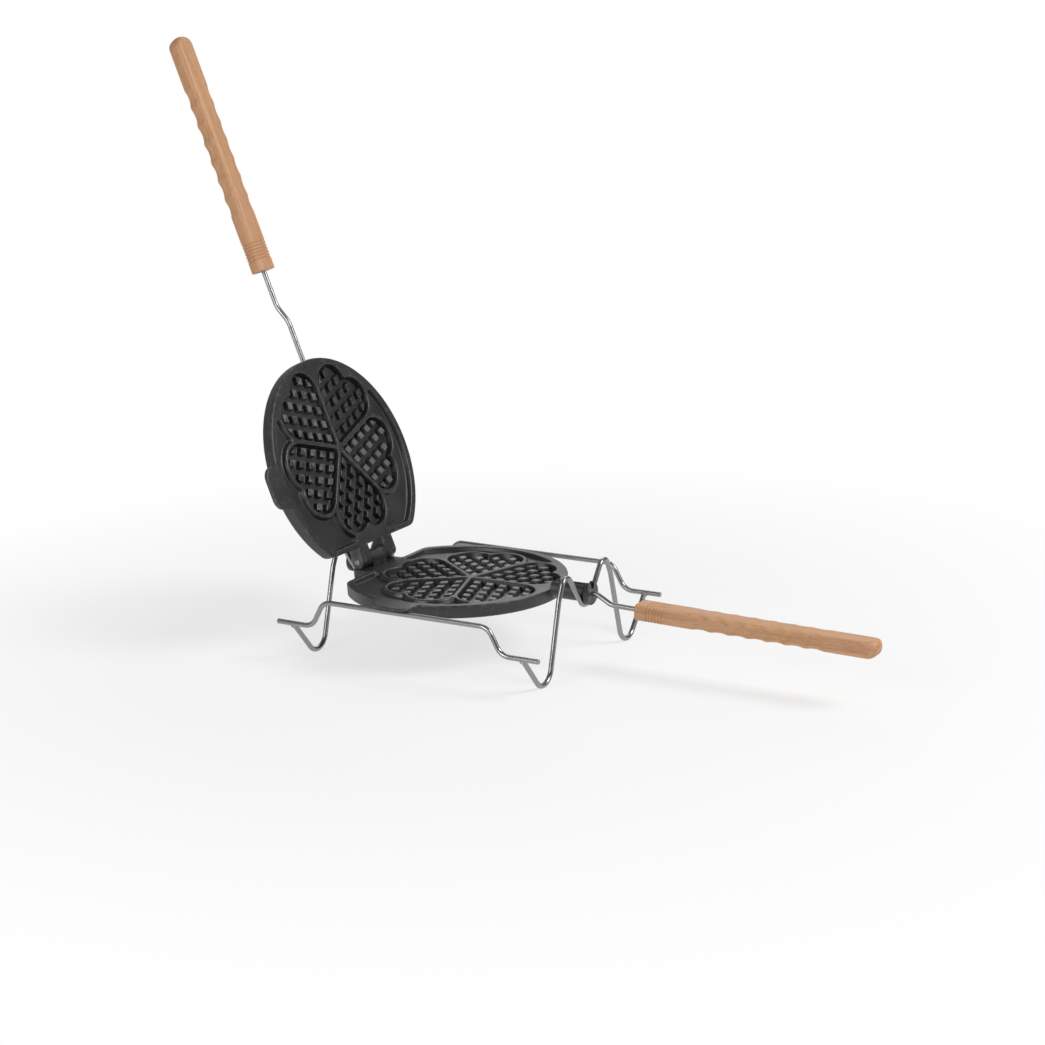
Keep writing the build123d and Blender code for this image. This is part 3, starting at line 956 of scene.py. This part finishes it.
def cross_wire(name, side, material, node):
    x = side * CRADLE_X
    reach = math.hypot(HUMP_Y, HUMP_Z)
    climb = math.atan2(HUMP_Z, HUMP_Y) + math.asin(VALLEY_RADIUS / reach)
    valley_z = HUMP_Z - HUMP_Y * math.tan(climb)
    half = [(RAIL_Y, RAIL_LOW_Z), (FOOT_Y, FOOT_Z), (SHOULDER_Y, SHOULDER_Z),
            (HUMP_OUTER_Y, HUMP_OUTER_Z), (HUMP_Y, HUMP_Z)]
    points = [(x, -y, z) for y, z in half] + [(x, 0, valley_z)] + [(x, y, z) for y, z in reversed(half)]
    bends = [FOOT_BEND, SHOULDER_BEND, HUMP_BEND, HUMP_BEND]
    mesh = tube(bent_line(points, bends + [VALLEY_RADIUS] + bends[::-1]), WIRE_RADIUS)
    piece(name, mesh, IRON_PLACE, "stand", "wire_steel", material, node)


def weld(name, x, side, material):
    """The lumpy bead that joins a cross wire's end to a rail."""
    mesh = bmesh.new()
    bmesh.ops.create_icosphere(mesh, subdivisions=WELD_FINENESS, radius=1)
    run = Vector((0, FOOT_Y - RAIL_Y, FOOT_Z - RAIL_LOW_Z)).normalized()
    run.y *= side
    middle = Vector((x, side * RAIL_Y, RAIL_LOW_Z)) + run * (WIRE_RADIUS * WELD_SEAT)
    turn = run.to_track_quat("Z", "X").to_matrix()
    for corner in mesh.verts:
        shift = Vector((x, side * WELD_LUMP_SHIFT, 0))
        lump = 1 + WELD_LUMPS * noise.noise(corner.co * WELD_LUMP_SCALE + shift)
        corner.co = middle + turn @ Vector([part * size * lump for part, size in zip(corner.co, WELD_SIZE)])
    piece(name, mesh, IRON_PLACE, "stand", "wire_steel", material)


# Effects that several materials share

def effect(name, inputs, outputs):
    """A new node group and its two end nodes: an input with a value is a number, one without is a vector."""
    tree = bpy.data.node_groups.new(name, "ShaderNodeTree")
    for label, value in inputs.items():
        kind = "NodeSocketVector" if value is None else "NodeSocketFloat"
        socket = tree.interface.new_socket(label, in_out="INPUT", socket_type=kind)
        if value is not None:
            socket.default_value = value
    for label in outputs:
        tree.interface.new_socket(label, in_out="OUTPUT", socket_type="NodeSocketFloat")
    return tree, tree.nodes.new("NodeGroupInput"), tree.nodes.new("NodeGroupOutput")


def feed(tree, socket, value):
    """Link an input to another socket, or set it to a plain value."""
    if isinstance(value, bpy.types.NodeSocket):
        tree.links.new(value, socket)
    else:
        socket.default_value = value


def connect(tree, node, **values):
    """Link a node's named inputs to other sockets, or set them to plain values."""
    for label, value in values.items():
        feed(tree, node.inputs[label.replace("_", " ")], value)


def add(tree, kind, settings=(), **values):
    """A node with its properties set and its inputs linked or set."""
    node = tree.nodes.new(kind)
    for label, value in dict(settings).items():
        setattr(node, label, value)
    connect(tree, node, **values)
    return node


def calculate(tree, operation, first, second):
    """A sum, product or the like of two values, each a number or a socket."""
    node = add(tree, "ShaderNodeMath", {"operation": operation})
    feed(tree, node.inputs[0], first)
    feed(tree, node.inputs[1], second)
    return node.outputs[0]


def layered(tree, colour, *layers):
    """A colour with others blended over it in turn, each by its share."""
    below = (*colour, 1)
    for share, over in layers:
        node = add(tree, "ShaderNodeMix", {"data_type": "RGBA"})
        for place, value in ((0, share), (6, below), (7, (*over, 1))):
            feed(tree, node.inputs[place], value)
        below = node.outputs[2]
    return below


def map_range(tree, value, low, high, new_low=0.0, new_high=1.0):
    """A value moved from one range to another and kept inside it."""
    return add(tree, "ShaderNodeMapRange", Value=value, From_Min=low, From_Max=high, To_Min=new_low,
               To_Max=new_high).outputs["Result"]


def cloud(tree, place, **values):
    """Noise at a place."""
    return add(tree, "ShaderNodeTexNoise", Vector=place, **values).outputs["Fac"]


def speckle_effect():
    """Fine and broad unevenness of a surface, in its own coordinates."""
    tree, start, end = effect("surface_speckle", {"Place": None, "Fine Scale": 900.0, "Broad Scale": 25.0},
                              ["Fine", "Broad"])
    place = start.outputs["Place"]
    for label, detail in (("Fine", 2.0), ("Broad", 4.0)):
        scale = start.outputs[f"{label} Scale"]
        feed(tree, end.inputs[label], cloud(tree, place, Scale=scale, Detail=detail, Roughness=0.55))
    return tree


def edge_wear_and_highlight_effect():
    """How much of an edge is rubbed bright, as wear and as a painted highlight, broken up by noise."""
    tree, start, end = effect("edge_wear_and_highlight", {"Place": None, "Reach": 0.08}, ["Wear"])
    shape = add(tree, "ShaderNodeNewGeometry")
    uneven = cloud(tree, start.outputs["Place"], Scale=180.0, Detail=4.0)
    broken = map_range(tree, uneven, 0.35, 0.65, -0.035, 0.035)
    sharp = calculate(tree, "ADD", shape.outputs["Pointiness"], broken)
    far = calculate(tree, "ADD", EDGE_POINTINESS, start.outputs["Reach"])
    connect(tree, end, Wear=map_range(tree, sharp, EDGE_POINTINESS, far))
    return tree


def drawn_lines_effect():
    """The fine lengthwise lines of drawn wire, from the map that runs round and along a bar."""
    tree, start, end = effect("drawn_lines", {"Round Count": 60.0, "Length Count": 0.05}, ["Lines"])
    uv = add(tree, "ShaderNodeUVMap").outputs["UV"]
    apart = add(tree, "ShaderNodeSeparateXYZ", Vector=uv)
    x, y = (calculate(tree, "MULTIPLY", apart.outputs[axis], start.outputs[label])
            for axis, label in (("X", "Round Count"), ("Y", "Length Count")))
    together = add(tree, "ShaderNodeCombineXYZ", X=x, Y=y)
    connect(tree, end, Lines=cloud(tree, together.outputs[0], Scale=1.0, Detail=3.0, Roughness=0.6))
    return tree


def new_material(name):
    """A material, its tree, its Principled shader and its object coordinates."""
    material = bpy.data.materials.new(name)
    material.use_nodes = True
    tree = material.node_tree
    place = add(tree, "ShaderNodeTexCoord").outputs["Object"]
    return material, tree, tree.nodes["Principled BSDF"], place


def place_effect(tree, group, **values):
    """A shared effect's outputs in a material, with its inputs linked or set."""
    return add(tree, "ShaderNodeGroup", {"node_tree": group}, **values).outputs


def raised(tree, height, distance):
    """The normals of a bump of a real height, in metres."""
    return add(tree, "ShaderNodeBump", Strength=1.0, Distance=distance, Height=height).outputs["Normal"]


def coated_casting(speckle, edge_wear_and_highlight):
    """Cast aluminium under a near-black non-stick coat that is a little thinner on the edges, which a painted
    highlight also lightens.
    """
    material, tree, shader, place = new_material("black_coated_casting")
    grain = place_effect(tree, speckle, Place=place, Fine_Scale=800.0, Broad_Scale=28.0)
    wear_and_highlight = place_effect(tree, edge_wear_and_highlight, Place=place, Reach=0.10)
    # The rubbed edges are lightened both as wear and as a painted highlight
    coat = layered(tree, COAT_DARK, (grain["Broad"], COAT_LIGHT),
                   (map_range(tree, grain["Fine"], 0.55, 0.75), COAT_GRAIN),
                   (map_range(tree, wear_and_highlight["Wear"], 0, 1, 0, 0.8), COAT_WORN_HIGHLIGHT))
    connect(tree, shader, Base_Color=coat, Metallic=0.0, Specular_IOR_Level=0.65,
            Roughness=map_range(tree, grain["Broad"], 0.3, 0.7, *COAT_ROUGHNESS),
            Normal=raised(tree, grain["Fine"], COAT_GRAIN_HEIGHT))
    return material


def steel(lines, speckle, name, colours, roughness):
    """Bright drawn steel: lengthwise lines between two colours and two roughnesses, lightly clouded."""
    material, tree, shader, place = new_material(name)
    drawn = place_effect(tree, lines, Round_Count=16.0, Length_Count=0.03)["Lines"]
    grain = place_effect(tree, speckle, Place=place, Fine_Scale=2500.0, Broad_Scale=60.0)["Broad"]
    colour = layered(tree, colours[0], (map_range(tree, drawn, 0.3, 0.7), colours[1]))
    lined = map_range(tree, drawn, 0.3, 0.7, *roughness)
    cloudy = map_range(tree, grain, 0.35, 0.65, -0.02, 0.02)
    connect(tree, shader, Base_Color=colour, Metallic=1.0, Roughness=calculate(tree, "ADD", lined, cloudy))
    return material


def beech():
    """Oiled beech: tan growth bands under pink clouds, fine fibres and short dark flecks."""
    material, tree, shader, place = new_material("oiled_beech")

    def streaks(lengthwise, crosswise, detail, roughness=0.5, distortion=0.0):
        stretch = add(tree, "ShaderNodeMapping", Vector=place, Scale=(lengthwise, crosswise, crosswise))
        return cloud(tree, stretch.outputs["Vector"], Scale=1.0, Detail=detail, Roughness=roughness,
                     Distortion=distortion)

    bands = streaks(7.0, 190.0, 3.0, distortion=0.8)
    fibres = streaks(40.0, 1300.0, 4.0, 0.65)
    flecks = streaks(130.0, 1000.0, 1.0)
    clouds = streaks(16.0, 45.0, 2.0)
    wood = layered(tree, WOOD_PALE, (map_range(tree, bands, 0.36, 0.64), WOOD_BAND),
                   (map_range(tree, clouds, 0.42, 0.60, 0.0, 0.55), WOOD_PINK),
                   (map_range(tree, fibres, 0.38, 0.66, 0.0, 0.6), WOOD_FIBRE),
                   (map_range(tree, flecks, 0.62, 0.70, 0.0, 0.4), WOOD_FLECK))
    connect(tree, shader, Base_Color=wood, Normal=raised(tree, fibres, WOOD_FIBRE_HEIGHT),
            Roughness=map_range(tree, fibres, 0.3, 0.7, *WOOD_ROUGHNESS))
    return material


# The studio

def what_sees(tree, first, *others):
    """1 for the rays of the named kinds and 0 for the others."""
    rays = add(tree, "ShaderNodeLightPath").outputs
    found = rays[f"Is {first} Ray"]
    for label in others:
        found = calculate(tree, "MAXIMUM", found, rays[f"Is {label} Ray"])
    return found


def studio_floor():
    """A pale round floor under the stand, which turns as white as the background further out."""
    mesh = bmesh.new()
    bmesh.ops.create_circle(mesh, cap_ends=True, segments=FLOOR_SIDES, radius=FLOOR_RADIUS)
    data = mesh_data("studio_floor", mesh)
    material, tree, shader, place = new_material("pale_floor")
    connect(tree, shader, Base_Color=(*FLOOR_COLOUR, 1), Roughness=0.9, Specular_IOR_Level=0.1)
    far = add(tree, "ShaderNodeVectorMath", {"operation": "LENGTH"}, Vector=place)
    whiter = map_range(tree, far.outputs["Value"], FLOOR_PALE_REACH, FLOOR_WHITE_REACH, FLOOR_WHITENESS, 1.0)
    share = calculate(tree, "MULTIPLY", whiter, what_sees(tree, "Camera", "Glossy", "Transmission"))
    glow = add(tree, "ShaderNodeEmission", Color=(1, 1, 1, 1), Strength=1.0)
    either = add(tree, "ShaderNodeMixShader")
    for socket, value in zip(either.inputs, (share, shader.outputs[0], glow.outputs[0])):
        feed(tree, socket, value)
    connect(tree, tree.nodes["Material Output"], Surface=either.outputs[0])
    data.materials.append(material)
    floor = placed("studio_floor", data)


def studio_world():
    """A room that is pale behind the object and dim in front of it, seen as plain white."""
    world = bpy.data.worlds.new("studio")
    world.use_nodes = True
    bpy.context.scene.world = world
    tree = world.node_tree
    way = add(tree, "ShaderNodeTexCoord").outputs["Generated"]
    back = add(tree, "ShaderNodeVectorMath", {"operation": "DOT_PRODUCT"}, Vector=way)
    back.inputs[1].default_value = BACK_WAY
    room = map_range(tree, back.outputs["Value"], *ROOM_TURN, ROOM_FRONT, ROOM_BACK)
    seen = map_range(tree, what_sees(tree, "Glossy", "Transmission"), 0, 1, ROOM_LIGHT, 1.0)
    either = add(tree, "ShaderNodeMix", {"data_type": "FLOAT"})
    feed(tree, either.inputs[0], what_sees(tree, "Camera"))
    feed(tree, either.inputs[2], calculate(tree, "MULTIPLY", room, seen))
    either.inputs[3].default_value = 1.0
    connect(tree, tree.nodes["Background"], Color=(1, 1, 1, 1), Strength=either.outputs[0])


def studio_lamps():
    """Square soft lamps, each turned to what it lights."""
    for name, spot, aim, power, size in LAMPS:
        lamp = bpy.data.lights.new(name, "AREA")
        lamp.energy, lamp.size = power, size
        holder = placed(name, lamp)
        holder.location = spot
        holder.rotation_euler = (Vector(aim) - Vector(spot)).to_track_quat("-Z", "Y").to_euler()


def camera():
    """A camera that puts the heart pattern's middle where the photograph has it."""
    azimuth, elevation, roll = (math.radians(angle) for angle in (VIEW_AZIMUTH, VIEW_ELEVATION, VIEW_ROLL))
    ahead = Vector((math.sin(azimuth) * math.cos(elevation), math.cos(azimuth) * math.cos(elevation),
                    -math.sin(elevation)))
    right = Vector((math.cos(azimuth), -math.sin(azimuth), 0))
    up = right.cross(ahead)
    rolled_right = right * math.cos(roll) + up * math.sin(roll)
    rolled_up = up * math.cos(roll) - right * math.sin(roll)
    half = FRAME_SIZE / 2
    toward = (ahead * FOCAL_PIXELS + rolled_right * (PATTERN_PIXEL[0] - half)
              - rolled_up * (PATTERN_PIXEL[1] - half)).normalized()
    data = bpy.data.cameras.new("photo_camera")
    data.sensor_width = 36
    data.lens = FOCAL_PIXELS / FRAME_SIZE * data.sensor_width
    data.clip_end = 50
    made = placed("photo_camera", data)
    spot = Matrix.Translation(IRON_PLACE @ (-toward * VIEW_DISTANCE / METRE))
    made.matrix_world = spot @ Matrix((rolled_right, rolled_up, -ahead)).transposed().to_4x4()
    bpy.context.scene.camera = made


camera()

speckle_group, wear_and_highlight_group, lines_group = speckle_effect(), edge_wear_and_highlight_effect(), drawn_lines_effect()
casting = coated_casting(speckle_group, wear_and_highlight_group)
pin_steel, rod_steel, wire_steel = (
    steel(lines_group, speckle_group, *finish) for finish in (PIN_STEEL, ROD_STEEL, WIRE_STEEL))
beech_wood = beech()

lower_plate(casting)
upper_plate(casting)
hinge_pin(pin_steel)
upper_rod(rod_steel)
lower_rod(rod_steel)
upper_grip(beech_wood)
lower_grip(beech_wood)
rail("front_rail_wire", -1, wire_steel, "rail_front")
rail("rear_rail_wire", 1, wire_steel, "rail_rear")
cross_wire("handle_end_cross_wire", 1, wire_steel, "cradle_handle_end")
cross_wire("hinge_end_cross_wire", -1, wire_steel, "cradle_hinge_end")
for row, side in (("front", -1), ("rear", 1)):
    for end, place_x in (("handle_end", CRADLE_X), ("hinge_end", -CRADLE_X)):
        weld(f"{row}_{end}_weld", place_x, side, wire_steel)

studio_floor()
studio_world()
studio_lamps()
bpy.context.scene.view_settings.view_transform = "Standard"
